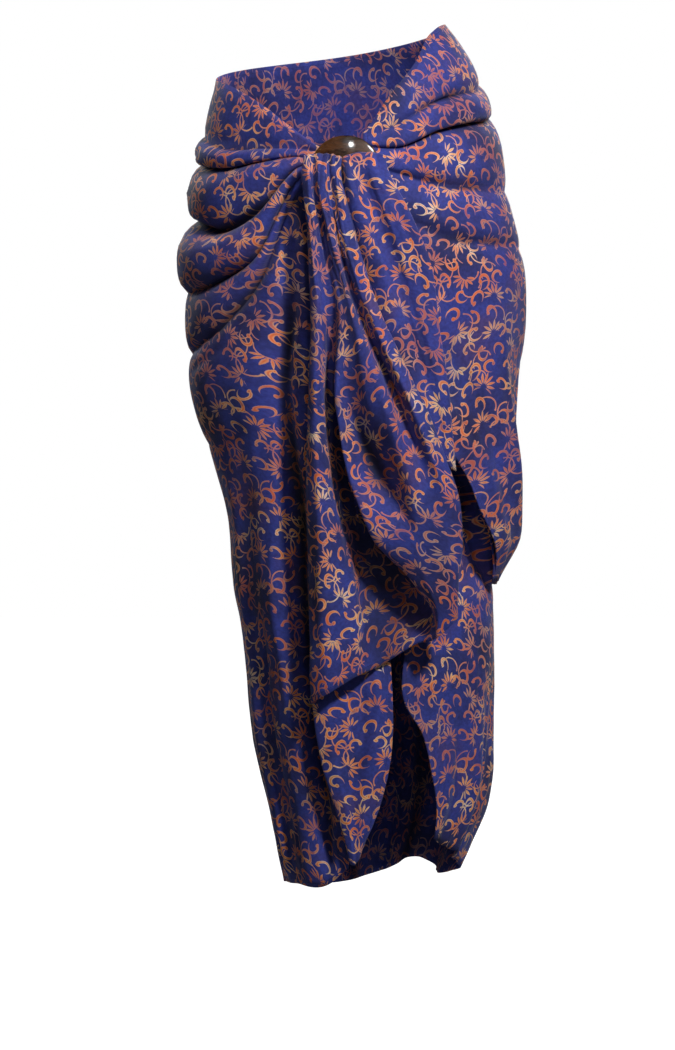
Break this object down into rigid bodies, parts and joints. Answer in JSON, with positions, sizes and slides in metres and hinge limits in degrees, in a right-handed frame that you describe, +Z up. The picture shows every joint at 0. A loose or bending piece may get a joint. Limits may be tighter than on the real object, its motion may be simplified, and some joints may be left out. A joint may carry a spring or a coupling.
{
  "type": "wrapped batik sarong",
  "caption": "Wrapped ankle-length sarong in batik cloth, both top corners drawn through a domed two-hole coconut shell buckle, with falls hanging at the front and a pouch fold on one hip.",
  "frame": {"origin": "middle of the waist opening, where the wearer's waist and hips hold the cloth up", "axes": "+Z up, -Y to the front, +X to the right as seen from the front (the wearer's left)"},
  "size_m": [0.3814, 0.3163, 0.9631],
  "materials": {
    "cloth": "soft, dyed, printed with a warm flower and vine pattern",
    "shell": "polished coconut shell"
  },
  "bodies": {
    "root": {"wrap_left_front": "cloth", "wrap_back": "cloth", "wrap_right_front": "cloth", "left_fall": "cloth", "right_fall": "cloth", "corner_fall": "cloth", "gather_left": "cloth", "gather_right": "cloth", "coconut_buckle": "shell"}
  },
  "joints": []
}
